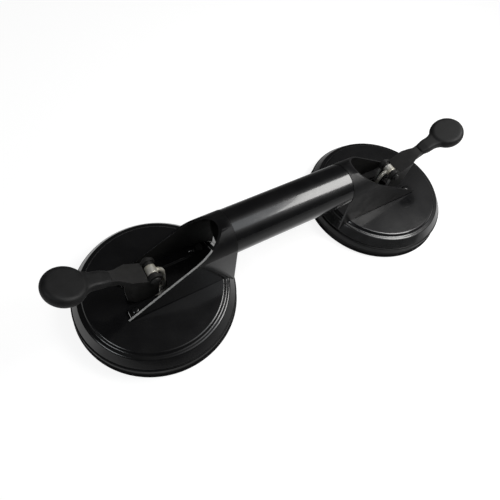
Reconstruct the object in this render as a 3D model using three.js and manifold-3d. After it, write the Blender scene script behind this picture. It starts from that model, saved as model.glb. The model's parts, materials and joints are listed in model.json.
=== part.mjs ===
import * as THREE from 'three';
import { mergeVertices } from 'three/addons/utils/BufferGeometryUtils.js';
import Module from 'manifold-3d';

const wasm = await Module();
wasm.setup();

// Two-cup vacuum lifter: millimetres, X along the handle, Y across, Z up from the surface under the lips

// Shared clearances and facet counts
const seatGap = 0.3;
const overrun = 2;
const roundSides = 48;
const smallSides = 20;
const filletSteps = 2;

// Layout
const cupSpacing = 206;

// Plate: outer surface from the centre hole out to the edge of the flank
const plateThickness = 1.8;
const plateHoleRadius = 8.4;
const discRadius = 48.3;
const discTop = 20.5;
const stepRun = 1.5;
const stepDrop = 1.8;
const ringRadius = 52.3;
const plateRadius = 56.9;
const plateEdgeHeight = 12.6;
const pressRadius = 1.2;
const flankRadius = 2.2;

// Rubber cup
const lipRadius = 59;
const lipEdgeHeight = 1.6;
const lipLandInset = 1.3;
const lipThickness = 3.4;
const grooveRadius = 57.2;
const grooveHeight = 5;
const rimRadius = 57.9;
const rimRound = 1;
const cavityRadius = 51.5;
const cavityDepth = 6;
const cavityShares = [[0, 1], [0.4, 0.95], [0.74, 0.74], [0.9, 0.42], [1, 0]];
const rubberMiddle = 3.6;
const rimInnerRadius = 46;
const rimSlope = 6;

// Insert disc, stud and nut
const insertRadius = 18;
const insertThickness = 1.6;
const studRadius = 1.5;
const studHeight = 5.8;
const studChamfer = 0.4;
const nutAcross = 5.5;
const nutHeight = 2.4;

// Handle tube
const tubeRadius = 15.9;
const tubeWall = 2;
const tubeHeight = 51.3;
const tubeNeckRadius = 14.5;
const tubeNeckRun = 1.6;
const tubeInSaddle = 5.5;

// Saddle: bent over the tube, walls splayed a little, slant cut, feet on the plate
const saddleWall = 1.4;
const wallSplay = 1.5;
const saddleInnerEnd = 54;
const saddleTopLength = 6;
const saddleOuterEnd = 33;
const slantAngle = 32.3;
const footWidth = 6.6;
const footInnerEnd = 43;
const footOuterEnd = 24;
const footCornerRadius = 2.5;
const rivetInner = 34;
const rivetOuter = 19;

// Rivets
const rivetRadius = 1.9;
const rivetHeadRadius = 2.9;
const rivetHeadHeight = 1.6;
const rivetTailRadius = 2.8;
const rivetTailHeight = 1.2;

// Pivot: cross barrel of the hook, pin and washer
const pivotOffset = 1.2;
const pivotHeight = 42;
const pinRadius = 2;
const barrelRadius = 3.7;
const barrelLength = 6.4;
const pinHeadRadius = 3.4;
const pinHeadHeight = 1.6;
const pinTailRadius = 2.7;
const pinTailHeight = 1;
const washerRadius = 3.6;
const washerThickness = 0.8;

// Pull hook
const rodRadius = 1.6;
const hookReach = 6.5;
const hookEyeRadius = 3.2;
const hookEyeThickness = 2.2;
const hookShoulderDrop = 9;
const hookHeelRise = 5;

// Lever: folded channel, runs of its web with their slopes, cam cheeks
const leverThickness = 2.2;
const forkHalfWidth = 7.5;
const neckHalfWidth = 4.2;
const collarRadius = 3.3;
const webStart = 4.4;
const webRise = 1.4;
const leverRuns = [17.2, 14.1, 20];
const runSlopes = [30.8, 22.6, 20.5];
const flangeDepth = 5.4;
const neckDepth = 4;
const tongueShare = 0.78;
const taperLead = 4;
const taperRun = 3.5;
const bossRadius = 4.9;
const heelReach = 2.4;
const camLift = 3.5;
const camTravel = 35;
const camSteps = 10;
const nearLeverRaise = 3.5;
const camFaceReach = 19.8;
const camFaceTop = 3.5;
const heelRound = 2;

// Grip: dipped round paddle with a sleeve over the neck
const gripRadius = 13.2;
const gripThickness = 8.8;
const gripEdgeShares = [[0, 1], [0.62, 1], [0.8, 0.88], [0.93, 0.6], [1, 0]];
const sleeveHalfWidth = 5.6;
const sleeveDepth = 6.8;
const sleeveLength = 27;
const sleeveCorner = 2.4;
const flareStart = 16.5;
const flareEnd = 8.5;
const flareHalfWidth = 9.2;
const flareSlice = 0.5;

// Worked out from the sizes above
const plateUnderside = discTop - plateThickness;
const ringTop = discTop - stepDrop;
const forkInside = forkHalfWidth - leverThickness;
const boreRadius = pinRadius + seatGap;
const saddleInside = tubeNeckRadius + seatGap;
const saddleOutside = saddleInside + saddleWall;
const saddleTop = tubeHeight + saddleOutside;
const slantStart = -saddleInnerEnd + saddleTopLength;
const rubberTop = cavityDepth + rubberMiddle;
const insertBase = rubberTop + seatGap;
const hookEyeBase = insertBase + insertThickness + seatGap;
const nutBase = hookEyeBase + hookEyeThickness + seatGap;
const tubeEnd = saddleInnerEnd - tubeInSaddle;
const footWallSide = saddleInside + wallSplay;
const rivetLine = footWallSide - footWidth / 2;
const rivetPlaces = [
  [-rivetInner, rivetLine],
  [-rivetInner, -rivetLine],
  [rivetOuter, rivetLine],
  [rivetOuter, -rivetLine],
];
const camBase = pivotHeight - discTop - seatGap;
const camGain = camLift / THREE.MathUtils.degToRad(camTravel);

// Finishes
const blackPaint = { color: 0x16171a, roughness: 0.28, metalness: 0.2 };
const rubberBlack = { color: 0x1b1b1c, roughness: 0.75, metalness: 0 };
const gripVinyl = { color: 0x2b2b2e, roughness: 0.55, metalness: 0 };
const leverPaint = { color: 0x2a2b2d, roughness: 0.35, metalness: 0.4 };
const zincPlate = { color: 0xb9b6a6, roughness: 0.35, metalness: 1 };
const steelBright = { color: 0x9c9c98, roughness: 0.4, metalness: 1 };

// Geometry helpers

function toSolid(geometry) {
  const plain = geometry.index ? geometry.clone() : geometry;
  plain.deleteAttribute('normal');
  plain.deleteAttribute('uv');
  const merged = mergeVertices(plain, 1e-4);
  return new wasm.Manifold(new wasm.Mesh({
    numProp: 3,
    vertProperties: new Float32Array(merged.attributes.position.array),
    triVerts: new Uint32Array(merged.index.array),
  }));
}

function toGeometry(solid) {
  const mesh = solid.getMesh();
  const geometry = new THREE.BufferGeometry();
  geometry.setAttribute('position', new THREE.BufferAttribute(new Float32Array(mesh.vertProperties), 3));
  geometry.setIndex(new THREE.BufferAttribute(new Uint32Array(mesh.triVerts), 1));
  geometry.computeVertexNormals();
  return geometry;
}

// Revolves a closed outline of [radius, height] points about Z
function revolve(points, sides = roundSides) {
  const outline = points.map(([radius, height]) => new THREE.Vector2(radius, height));
  if (outline[0].x > 0) {
    outline.push(outline[0].clone());
  }
  return new THREE.LatheGeometry(outline, sides).rotateX(Math.PI / 2);
}

// Extrudes an outline drawn in X and Z between two places along Y
function extrudeAlongY(points, from, to) {
  const shape = new THREE.Shape(points.map(([x, z]) => new THREE.Vector2(x, z)));
  const geometry = new THREE.ExtrudeGeometry(shape, { depth: to - from, bevelEnabled: false });
  return geometry.rotateX(Math.PI / 2).translate(0, to, 0);
}

// Extrudes an outline drawn in X and Y between two heights
function extrudeAlongZ(points, from, to) {
  const shape = new THREE.Shape(points.map(([x, y]) => new THREE.Vector2(x, y)));
  const geometry = new THREE.ExtrudeGeometry(shape, { depth: to - from, bevelEnabled: false });
  return geometry.translate(0, 0, from);
}

// Extrudes an outline drawn in Y and Z between two places along X
function extrudeAlongX(points, from, to) {
  const shape = new THREE.Shape(points.map(([y, z]) => new THREE.Vector2(y, z)));
  const geometry = new THREE.ExtrudeGeometry(shape, { depth: to - from, bevelEnabled: false });
  return geometry.rotateY(Math.PI / 2).rotateX(Math.PI / 2).translate(from, 0, 0);
}

function boxSolid(minimum, maximum) {
  const size = maximum.map((value, axis) => value - minimum[axis]);
  const middle = maximum.map((value, axis) => (value + minimum[axis]) / 2);
  return toSolid(new THREE.BoxGeometry(...size).translate(...middle));
}

function crossCylinder(radius, from, to) {
  const cylinder = new THREE.CylinderGeometry(radius, radius, to - from, smallSides);
  return toSolid(cylinder.translate(0, (to + from) / 2, 0));
}

// Upright cylinder that cuts a round hole on Z
function drill(radius, from, to) {
  const cylinder = new THREE.CylinderGeometry(radius, radius, to - from, smallSides).rotateX(Math.PI / 2);
  return toSolid(cylinder.translate(0, 0, (to + from) / 2));
}

function drillRivetHoles(solid) {
  const cutter = drill(rivetRadius + seatGap, 0, discTop * 2);
  return rivetPlaces.reduce((drilled, [x, y]) => drilled.subtract(cutter.translate([x, y, 0])), solid);
}

// Rounds the inner corners of an open path: one radius for each corner
function roundPath(points, radii) {
  const rounded = [points[0]];
  for (let i = 1; i < points.length - 1; i++) {
    const corner = new THREE.Vector2(...points[i]);
    const before = new THREE.Vector2(...points[i - 1]).sub(corner);
    const after = new THREE.Vector2(...points[i + 1]).sub(corner);
    const turn = before.angleTo(after);
    const reach = Math.min(radii[i - 1] / Math.tan(turn / 2), before.length() / 2, after.length() / 2);
    const start = corner.clone().add(before.setLength(reach));
    const end = corner.clone().add(after.setLength(reach));
    const curve = new THREE.QuadraticBezierCurve(start, corner, end);
    rounded.push(...curve.getPoints(filletSteps).map((point) => [point.x, point.y]));
  }
  rounded.push(points[points.length - 1]);
  return rounded;
}

// Moves an open path sideways, to the right of its direction, with mitred corners
function offsetPath(points, distance) {
  const normals = [];
  for (let i = 0; i < points.length - 1; i++) {
    const dx = points[i + 1][0] - points[i][0];
    const dz = points[i + 1][1] - points[i][1];
    const length = Math.hypot(dx, dz);
    normals.push([dz / length, -dx / length]);
  }
  return points.map(([x, z], i) => {
    const first = normals[Math.max(i - 1, 0)];
    const second = normals[Math.min(i, normals.length - 1)];
    const sumX = first[0] + second[0];
    const sumZ = first[1] + second[1];
    const scale = distance * 2 / (sumX * sumX + sumZ * sumZ);
    return [x + sumX * scale, z + sumZ * scale];
  });
}

// Points of a circular arc in degrees
function arc(centreX, centreZ, radius, from, to, steps) {
  const points = [];
  for (let i = 0; i <= steps; i++) {
    const angle = THREE.MathUtils.degToRad(from + (to - from) * i / steps);
    points.push([centreX + radius * Math.cos(angle), centreZ + radius * Math.sin(angle)]);
  }
  return points;
}

// Plate: one pressed path, given its thickness by an offset

const plateCorners = [
  [plateHoleRadius, discTop],
  [discRadius, discTop],
  [discRadius + stepRun, ringTop],
  [ringRadius, ringTop],
  [plateRadius, plateEdgeHeight],
];
const platePath = roundPath(plateCorners, [pressRadius, pressRadius, flankRadius]);

function makePlate() {
  const underside = offsetPath(plateCorners, plateThickness);
  const plate = toSolid(revolve([...underside, ...platePath.slice().reverse()]));
  return toGeometry(drillRivetHoles(plate));
}

// Rubber cup: hollow underside, flat lip land, grooved rim, top that follows the plate's underside

function makeRubber() {
  const plateLow = offsetPath(plateCorners, plateThickness);
  const close = offsetPath(plateCorners, plateThickness + seatGap);
  const shoulder = plateLow[4][1] - seatGap;
  const [innerX, innerZ] = close[3];
  const [edgeX, edgeZ] = close[4];
  const flankFoot = edgeX + (innerX - edgeX) * (shoulder - edgeZ) / (innerZ - edgeZ);
  const cavity = cavityShares.map(([r, z]) => [cavityRadius * r, cavityDepth * z]);
  return revolve([
    ...cavity,
    [lipRadius - lipLandInset, 0],
    [lipRadius, lipEdgeHeight],
    [lipRadius, lipEdgeHeight + seatGap],
    [grooveRadius + seatGap, lipEdgeHeight + lipThickness / 2],
    [grooveRadius, grooveHeight],
    [rimRadius, grooveHeight + rimRound * 2],
    [rimRadius, shoulder - rimRound],
    [rimRadius - rimRound, shoulder],
    [flankFoot, shoulder],
    [innerX, innerZ],
    [rimInnerRadius, innerZ],
    [rimInnerRadius - rimSlope, rubberTop],
    [0, rubberTop],
  ]);
}

// Insert disc with its stud

function makeInsert() {
  const top = insertBase + insertThickness;
  return revolve([
    [0, insertBase],
    [insertRadius, insertBase],
    [insertRadius, top - studChamfer],
    [insertRadius - studChamfer, top],
    [studRadius, top],
    [studRadius, top + studHeight - studChamfer],
    [studRadius - studChamfer, top + studHeight],
    [0, top + studHeight],
  ], smallSides);
}

function makeNut() {
  const corner = nutAcross / Math.sqrt(3);
  const hexagon = new THREE.CylinderGeometry(corner, corner, nutHeight, 6).rotateX(Math.PI / 2);
  const cone = revolve([
    [0, -nutHeight],
    [corner + studChamfer * 2, -nutHeight],
    [corner + studChamfer * 2, nutHeight / 2 - studChamfer],
    [corner - studChamfer, nutHeight / 2],
    [0, nutHeight / 2],
  ], smallSides);
  const bore = drill(studRadius + seatGap, -nutHeight, nutHeight);
  return toGeometry(toSolid(hexagon).intersect(toSolid(cone)).subtract(bore));
}

// Pull hook: eye round the stud, rod bent like a C, cross barrel at its top

function makeHook() {
  const back = -hookReach;
  const rodLow = hookEyeBase + rodRadius;
  const start = new THREE.Vector3(-studRadius - rodRadius, 0, rodLow);
  const heel = new THREE.Vector3(back, 0, rodLow);
  const rise = new THREE.Vector3(back, 0, rodLow + hookHeelRise);
  const shoulder = new THREE.Vector3(back, 0, pivotHeight - hookShoulderDrop);
  const bend = new THREE.Vector3(back, 0, pivotHeight);
  const end = new THREE.Vector3(pivotOffset, 0, pivotHeight);
  const path = new THREE.CurvePath();
  path.add(new THREE.QuadraticBezierCurve3(start, heel, rise));
  path.add(new THREE.LineCurve3(rise, shoulder));
  path.add(new THREE.QuadraticBezierCurve3(shoulder, bend, end));
  const section = new THREE.Shape();
  section.absarc(0, 0, rodRadius, 0, Math.PI * 2);
  const options = { steps: 16, curveSegments: 4, extrudePath: path, bevelEnabled: false };
  const rod = toSolid(new THREE.ExtrudeGeometry(section, options));
  const eye = drill(hookEyeRadius, hookEyeBase, hookEyeBase + hookEyeThickness);
  const barrel = crossCylinder(barrelRadius, -barrelLength / 2, barrelLength / 2)
    .translate([pivotOffset, 0, pivotHeight]);
  const pinBore = crossCylinder(boreRadius, -barrelLength, barrelLength)
    .translate([pivotOffset, 0, pivotHeight]);
  const studBore = drill(studRadius + seatGap, 0, nutBase);
  return toGeometry(eye.add(rod).add(barrel).subtract(pinBore).subtract(studBore));
}

// Saddle: an arch over the tube with straight walls, cut on a slant and trimmed to the plate

const footTop = discTop + seatGap + saddleWall;

function archOutline(radius, bottom) {
  const foot = radius + wallSplay * (tubeHeight - bottom) / (tubeHeight - discTop);
  return [[foot, bottom], ...arc(0, tubeHeight, radius, 0, 180, smallSides), [-foot, bottom]];
}

function makeSaddle() {
  const from = -saddleInnerEnd;
  const to = saddleOuterEnd;
  const outer = toSolid(extrudeAlongX(archOutline(saddleOutside, plateEdgeHeight), from, to));
  const inner = toSolid(extrudeAlongX(archOutline(saddleInside, -overrun), from - overrun, to + overrun));
  let saddle = outer.subtract(inner);
  for (const side of [-1, 1]) {
    const wallSide = side * (footWallSide + saddleWall / 2);
    const freeSide = side * (footWallSide - footWidth);
    const foot = roundPath([
      [-footInnerEnd, wallSide],
      [-footInnerEnd, freeSide],
      [footOuterEnd, freeSide],
      [footOuterEnd, wallSide],
    ], [footCornerRadius, footCornerRadius]);
    if (side > 0) {
      foot.reverse();
    }
    saddle = saddle.add(toSolid(extrudeAlongZ(foot, discTop, footTop)));
  }
  const reach = saddleInnerEnd + saddleOuterEnd;
  const slope = THREE.MathUtils.degToRad(slantAngle);
  const cut = new THREE.BoxGeometry(reach * 2, saddleOutside * 4, saddleTop)
    .translate(reach - overrun, 0, saddleTop / 2)
    .rotateY(slope)
    .translate(slantStart, 0, saddleTop);
  const envelope = offsetPath(plateCorners, -seatGap).slice(1).reverse();
  const bed = toSolid(revolve([[0, 0], [envelope[0][0], 0], ...envelope, [0, discTop + seatGap]]));
  return toGeometry(drillRivetHoles(saddle.subtract(toSolid(cut)).subtract(bed)));
}

// Rivet through a foot and the plate, its shank on Z

function makeRivet() {
  const headBase = footTop + seatGap;
  const tailTop = plateUnderside - seatGap;
  return revolve([
    [0, tailTop - rivetTailHeight],
    [rivetTailRadius * 0.8, tailTop - rivetTailHeight],
    [rivetTailRadius, tailTop],
    [rivetRadius, tailTop],
    [rivetRadius, headBase],
    [rivetHeadRadius, headBase],
    [rivetHeadRadius * 0.9, headBase + rivetHeadHeight / 2],
    [rivetHeadRadius / 2, headBase + rivetHeadHeight],
    [0, headBase + rivetHeadHeight],
  ], smallSides / 2);
}

// Lever, about its pivot, with outward along X

function leverLine() {
  const points = [[webStart, webRise]];
  leverRuns.forEach((length, i) => {
    const angle = THREE.MathUtils.degToRad(runSlopes[i]);
    const share = i === leverRuns.length - 1 ? tongueShare : 1;
    const [x, z] = points[points.length - 1];
    points.push([x + length * share * Math.cos(angle), z + length * share * Math.sin(angle)]);
  });
  return points;
}

function paddleCentre() {
  const [x, z] = leverLine()[2];
  const angle = THREE.MathUtils.degToRad(runSlopes[2]);
  const along = leverRuns[2];
  const down = neckDepth / 2;
  return [
    x + along * Math.cos(angle) + down * Math.sin(angle),
    z + along * Math.sin(angle) - down * Math.cos(angle),
  ];
}

// Strip between the web's top line and a line below it, deeper at the fork than at the neck
function stripOutline(line, forkDepth, endDepth, grow = 0) {
  const top = grow ? offsetPath(line, -grow) : line;
  const deep = offsetPath(line, forkDepth + grow);
  const shallow = offsetPath(line, endDepth + grow);
  const low = [deep[0], deep[1], shallow[2], shallow[3]];
  return [...low, ...top.slice().reverse()];
}

// Plan of the lever: wide at the fork, drawn in to the neck
function planOutline(inset) {
  const line = leverLine();
  const wide = forkHalfWidth - inset;
  const slim = neckHalfWidth - inset;
  const half = [
    [-bossRadius - overrun, wide],
    [line[1][0] - taperLead, wide],
    [line[1][0] + taperRun, slim],
    [line[3][0] + (inset ? overrun : 0), slim],
  ];
  return [...half.map(([x, y]) => [x, -y]), ...half.slice().reverse()];
}

// Cam: its distance below the pivot grows evenly with the angle, so the lift is even too
function camOutline() {
  const points = [[-heelReach, bossRadius / 2], [-heelReach, heelRound - camBase]];
  points.push([heelRound - heelReach, -camBase]);
  for (let i = 0; i <= camSteps; i++) {
    const angle = THREE.MathUtils.degToRad(camTravel * i / camSteps);
    const distance = camBase + camGain * angle;
    points.push([
      distance * Math.sin(angle) + camGain * Math.cos(angle),
      camGain * Math.sin(angle) - distance * Math.cos(angle),
    ]);
  }
  const [, , last] = leverLine();
  points.push([camFaceReach, -camBase / 3]);
  points.push([camFaceReach, camFaceTop]);
  points.push([camFaceReach, last[1] - flangeDepth - leverThickness]);
  points.push([webStart + leverThickness, webRise]);
  return points;
}

function makeLever() {
  const line = leverLine();
  const wide = forkHalfWidth + overrun;
  const cam = toSolid(extrudeAlongY(camOutline(), -wide, wide));
  const boss = crossCylinder(bossRadius, -wide, wide);
  const flanges = toSolid(extrudeAlongY(stripOutline(line, flangeDepth, neckDepth), -wide, wide));
  const web = toSolid(extrudeAlongY(stripOutline(line, leverThickness, leverThickness), -wide, wide));
  const deep = camBase * 2;
  const plan = toSolid(extrudeAlongZ(planOutline(0), -deep, deep));
  const inside = toSolid(extrudeAlongZ(planOutline(leverThickness), -deep, deep));
  const cheeks = cam.add(boss).add(flanges).intersect(plan).subtract(inside);
  const collarEnd = barrelLength / 2 + seatGap;
  const collars = crossCylinder(collarRadius, collarEnd, forkInside + seatGap)
    .add(crossCylinder(collarRadius, -forkInside - seatGap, -collarEnd));
  const bore = crossCylinder(boreRadius, -wide, wide);
  return toGeometry(cheeks.add(web.intersect(plan)).add(collars).subtract(bore));
}

// Grip: round paddle and neck sleeve, hollow where the lever's tongue sits

function sleeveOutline(wide) {
  const corner = Math.min(sleeveCorner, sleeveDepth / 2);
  const tall = sleeveDepth / 2;
  return [
    ...arc(wide - corner, tall - corner, corner, 0, 90, filletSteps),
    ...arc(corner - wide, tall - corner, corner, 90, 180, filletSteps),
    ...arc(corner - wide, corner - tall, corner, 180, 270, filletSteps),
    ...arc(wide - corner, corner - tall, corner, 270, 360, filletSteps),
  ];
}

function makeGrip() {
  const line = leverLine();
  const half = gripThickness / 2;
  const rim = gripEdgeShares.map(([r, z]) => [gripRadius * r, half * z]);
  const under = rim.slice(0, -1).map(([r, z]) => [r, -z]);
  const disc = toSolid(revolve([...under, ...rim.slice().reverse()], 36));
  const wide = sleeveHalfWidth;
  const sleeve = toSolid(extrudeAlongX(sleeveOutline(wide), -sleeveLength, 0));
  const slim = toSolid(extrudeAlongX(sleeveOutline(wide), -flareStart, flareSlice - flareStart));
  const full = toSolid(extrudeAlongX(sleeveOutline(flareHalfWidth), -flareEnd - flareSlice, -flareEnd));
  const neck = slim.add(full).hull();
  const tilt = -THREE.MathUtils.degToRad(runSlopes[2]);
  const [x, z] = paddleCentre();
  const turned = disc.add(sleeve).add(neck).rotate([0, THREE.MathUtils.radToDeg(tilt), 0]).translate([x, 0, z]);
  const deep = camBase * 2;
  const pocketOutline = stripOutline(line, flangeDepth, neckDepth, seatGap);
  const pocketSide = toSolid(extrudeAlongY(pocketOutline, -wide, wide));
  const tongueHalf = neckHalfWidth + seatGap;
  const reach = line[3][0] + seatGap;
  const slot = boxSolid([line[1][0] - overrun, -tongueHalf, -deep], [reach, tongueHalf, deep]);
  const taper = toSolid(extrudeAlongZ(planOutline(-seatGap), -deep, deep))
    .intersect(boxSolid([line[1][0] - overrun, -wide * 2, -deep], [line[2][0], wide * 2, deep]));
  return toGeometry(turned.subtract(pocketSide.intersect(slot.add(taper))));
}

// Pivot pin with its head at +Y and its riveted end at -Y, and the washer under that end

const headSeat = forkHalfWidth + seatGap;
const washerSeat = forkHalfWidth + seatGap;
const tailSeat = washerSeat + washerThickness + seatGap;

function makePin() {
  return revolve([
    [0, -tailSeat - pinTailHeight],
    [pinTailRadius * 0.8, -tailSeat - pinTailHeight],
    [pinTailRadius, -tailSeat],
    [pinRadius, -tailSeat],
    [pinRadius, headSeat],
    [pinHeadRadius, headSeat],
    [pinHeadRadius, headSeat + pinHeadHeight / 2],
    [pinHeadRadius * 0.7, headSeat + pinHeadHeight],
    [0, headSeat + pinHeadHeight],
  ], smallSides).rotateX(-Math.PI / 2);
}

function makeWasher() {
  return revolve([
    [boreRadius, -washerSeat - washerThickness],
    [washerRadius, -washerSeat - washerThickness],
    [washerRadius, -washerSeat],
    [boreRadius, -washerSeat],
  ], smallSides).rotateX(-Math.PI / 2);
}

// Handle tube along X, its ends necked to fit the saddles

function makeTube() {
  const half = cupSpacing / 2 - tubeEnd;
  const neckEnd = cupSpacing / 2 - saddleInnerEnd - seatGap;
  const neckStart = neckEnd - tubeNeckRun;
  return revolve([
    [tubeNeckRadius - tubeWall, -half],
    [tubeNeckRadius, -half],
    [tubeNeckRadius, -neckEnd],
    [tubeRadius, -neckStart],
    [tubeRadius, neckStart],
    [tubeNeckRadius, neckEnd],
    [tubeNeckRadius, half],
    [tubeNeckRadius - tubeWall, half],
    [tubeNeckRadius - tubeWall, neckEnd],
    [tubeRadius - tubeWall, neckStart],
    [tubeRadius - tubeWall, -neckStart],
    [tubeNeckRadius - tubeWall, -neckEnd],
  ], 40).rotateY(Math.PI / 2);
}

// Assembly

function mesh(name, geometry, finish) {
  const piece = new THREE.Mesh(geometry, new THREE.MeshStandardMaterial(finish));
  piece.name = name;
  return piece;
}

function makeStation(prefix, raise) {
  const station = new THREE.Group();
  station.add(mesh(`${prefix}_plate`, makePlate(), blackPaint));
  station.add(mesh(`${prefix}_saddle`, makeSaddle(), blackPaint));
  rivetPlaces.forEach(([x, y], i) => {
    const rivet = mesh(`${prefix}_saddle_rivet_${i + 1}`, makeRivet(), steelBright);
    rivet.position.set(x, y, 0);
    station.add(rivet);
  });
  station.add(mesh(`${prefix}_rubber_cup`, makeRubber(), rubberBlack));
  station.add(mesh(`${prefix}_insert_disc`, makeInsert(), steelBright));
  station.add(mesh(`${prefix}_pull_hook`, makeHook(), zincPlate));
  const nut = mesh(`${prefix}_stud_nut`, makeNut(), zincPlate);
  nut.position.z = nutBase + nutHeight / 2;
  station.add(nut);
  const arm = new THREE.Group();
  arm.position.set(pivotOffset, 0, pivotHeight);
  arm.rotation.y = -THREE.MathUtils.degToRad(raise);
  arm.add(mesh(`${prefix}_lever`, makeLever(), leverPaint));
  arm.add(mesh(`${prefix}_lever_grip`, makeGrip(), gripVinyl));
  arm.add(mesh(`${prefix}_pivot_pin`, makePin(), zincPlate));
  arm.add(mesh(`${prefix}_pin_washer`, makeWasher(), zincPlate));
  station.add(arm);
  return station;
}

const lifter = new THREE.Group();

const farStation = makeStation('far', 0);
farStation.position.x = cupSpacing / 2;
lifter.add(farStation);

const nearStation = makeStation('near', nearLeverRaise);
nearStation.position.x = -cupSpacing / 2;
nearStation.rotation.z = Math.PI;
lifter.add(nearStation);

const tube = mesh('handle_tube', makeTube(), blackPaint);
tube.position.z = tubeHeight;
lifter.add(tube);

export default lifter;
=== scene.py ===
"""Two-cup hand lifter dressed for a studio view.

Lengths in the classes are millimetres unless a docstring says otherwise. X runs along the handle, Y
across it and Z up from the surface under the lips. A station is one cup with its saddle, hook and
lever. It is modelled about the far cup's axis, with outward along X, and copied to both cups.
"""

import json
import logging
import math
from contextlib import contextmanager
from dataclasses import dataclass, field
from enum import Enum
from typing import Callable, Iterator

import bmesh
import bpy
from mathutils import Matrix, Vector

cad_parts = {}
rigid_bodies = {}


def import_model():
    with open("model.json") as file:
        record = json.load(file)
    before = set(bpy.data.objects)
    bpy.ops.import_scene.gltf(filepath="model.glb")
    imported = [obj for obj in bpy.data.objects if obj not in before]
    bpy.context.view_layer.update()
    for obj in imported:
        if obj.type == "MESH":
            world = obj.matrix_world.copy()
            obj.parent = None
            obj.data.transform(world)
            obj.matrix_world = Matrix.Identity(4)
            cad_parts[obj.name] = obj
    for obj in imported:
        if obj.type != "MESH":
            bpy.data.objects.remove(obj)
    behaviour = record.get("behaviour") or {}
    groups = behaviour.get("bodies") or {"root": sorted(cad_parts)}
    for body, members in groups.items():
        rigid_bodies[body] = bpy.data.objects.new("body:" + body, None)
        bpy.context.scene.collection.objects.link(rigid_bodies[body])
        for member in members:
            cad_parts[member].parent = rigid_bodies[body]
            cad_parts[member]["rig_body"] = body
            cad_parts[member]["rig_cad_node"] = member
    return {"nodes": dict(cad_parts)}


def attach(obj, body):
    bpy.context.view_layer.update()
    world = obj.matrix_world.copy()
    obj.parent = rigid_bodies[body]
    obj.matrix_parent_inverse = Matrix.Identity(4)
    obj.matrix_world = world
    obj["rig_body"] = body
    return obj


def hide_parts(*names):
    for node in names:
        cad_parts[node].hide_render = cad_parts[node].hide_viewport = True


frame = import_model()

MM = 0.001
TOUCH = 2e-6

log = logging.getLogger("lifter")
logging.basicConfig(level=logging.INFO, format="%(name)s: %(message)s")

Object = bpy.types.Object
Material = bpy.types.Material
Socket = bpy.types.NodeSocket
Edge = bmesh.types.BMEdge
Face = bmesh.types.BMFace
Point = tuple[float, float, float]
Pair = tuple[float, float]
Coat = Material | tuple[Material, Callable[[Face], bool]]
Coats = tuple[Coat, ...]
Inputs = dict[str | int, object]


class Element(Enum):
    """What a selection in edit mode is made of."""

    VERTEX = "VERT"
    EDGE = "EDGE"
    FACE = "FACE"


class Act(Enum):
    """How a second solid acts on the first."""

    ADD = "UNION"
    CUT = "DIFFERENCE"
    SHARE = "INTERSECT"


class Ray(Enum):
    """The kinds of ray that the studio answers each in its own way."""

    CAMERA = "Is Camera Ray"
    GLOSSY = "Is Glossy Ray"
    TRANSMISSION = "Is Transmission Ray"


class Cup(Enum):
    """The two stations.

    Each has its name, the place of the cup's axis along X, its turn about Z and the extra lift of
    its lever, both in degrees.
    """

    NEAR = ("near", -103.0, 180.0, 3.5)
    FAR = ("far", 103.0, 0.0, 0.0)

    def __init__(self, station: str, along: float, turn: float, raised: float) -> None:
        """Gives the station's values their names."""
        self.station, self.along, self.turn, self.raised = station, along, turn, raised

    def node(self, name: str) -> str:
        """Full name of one of this station's pieces or bodies."""
        return f"{self.station}_{name}"

    def place(self, pivot: Point, on_lever: bool) -> Matrix:
        """Matrix that takes a piece from the modelling station to this cup.

        Args:
            pivot: the lever's pivot in the modelling station.
            on_lever: whether the piece turns with the lever.

        Returns:
            The matrix, in metres.
        """
        move = Matrix.Translation((self.along * MM, 0, 0))
        move = move @ Matrix.Rotation(math.radians(self.turn), 4, "Z")
        if not on_lever:
            return move
        centre = Vector(pivot) * MM
        lift = Matrix.Rotation(math.radians(-self.raised), 4, "Y")
        return move @ Matrix.Translation(centre) @ lift @ Matrix.Translation(-centre)


@dataclass(frozen=True)
class Ring:
    """One ring of a turned profile: radius, height and how far its edge is rounded back."""

    radius: float
    height: float
    round: float = 0.0


# Bench work


def activate(piece: Object) -> None:
    """Leaves one piece selected and active.

    Args:
        piece: the piece.
    """
    bpy.ops.object.select_all(action="DESELECT")
    piece.select_set(True)
    bpy.context.view_layer.objects.active = piece


@contextmanager
def editing(piece: Object) -> Iterator[None]:
    """Edit mode on one piece.

    Args:
        piece: the piece.
    """
    activate(piece)
    bpy.ops.object.mode_set(mode="EDIT")
    yield
    bpy.ops.object.mode_set(mode="OBJECT")


def pick(piece: Object, kind: Element, test: Callable[..., bool]) -> int:
    """Selects, in edit mode, the vertices, edges or faces that pass a test.

    Args:
        piece: the piece in edit mode.
        kind: what is selected.
        test: told one element, says whether it is wanted.

    Returns:
        How many were selected.
    """
    bpy.ops.mesh.select_mode(type=kind.value)
    bpy.ops.mesh.select_all(action="DESELECT")
    mesh = bmesh.from_edit_mesh(piece.data)
    elements = {Element.VERTEX: mesh.verts, Element.EDGE: mesh.edges, Element.FACE: mesh.faces}
    found = [element for element in elements[kind] if test(element)]
    for element in found:
        element.select_set(True)
    mesh.select_flush_mode()
    bmesh.update_edit_mesh(piece.data)
    return len(found)


def pick_all(kind: Element | None = None) -> None:
    """Selects the whole mesh in edit mode, as one kind of element where that is given."""
    if kind:
        bpy.ops.mesh.select_mode(type=kind.value)
    bpy.ops.mesh.select_all(action="SELECT")


def on_ring(ring: Ring) -> Callable[[Edge], bool]:
    """Test for the edges that lie on one ring about Z."""
    radius, height = ring.radius * MM, ring.height * MM
    return lambda edge: all(
        abs(math.hypot(v.co.x, v.co.y) - radius) < TOUCH and abs(v.co.z - height) < TOUCH
        for v in edge.verts
    )


def run_of(edge: Edge) -> Vector:
    """How far an edge runs along each axis."""
    start, end = (v.co for v in edge.verts)
    return Vector([abs(a - b) / MM for a, b in zip(start, end)])


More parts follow.
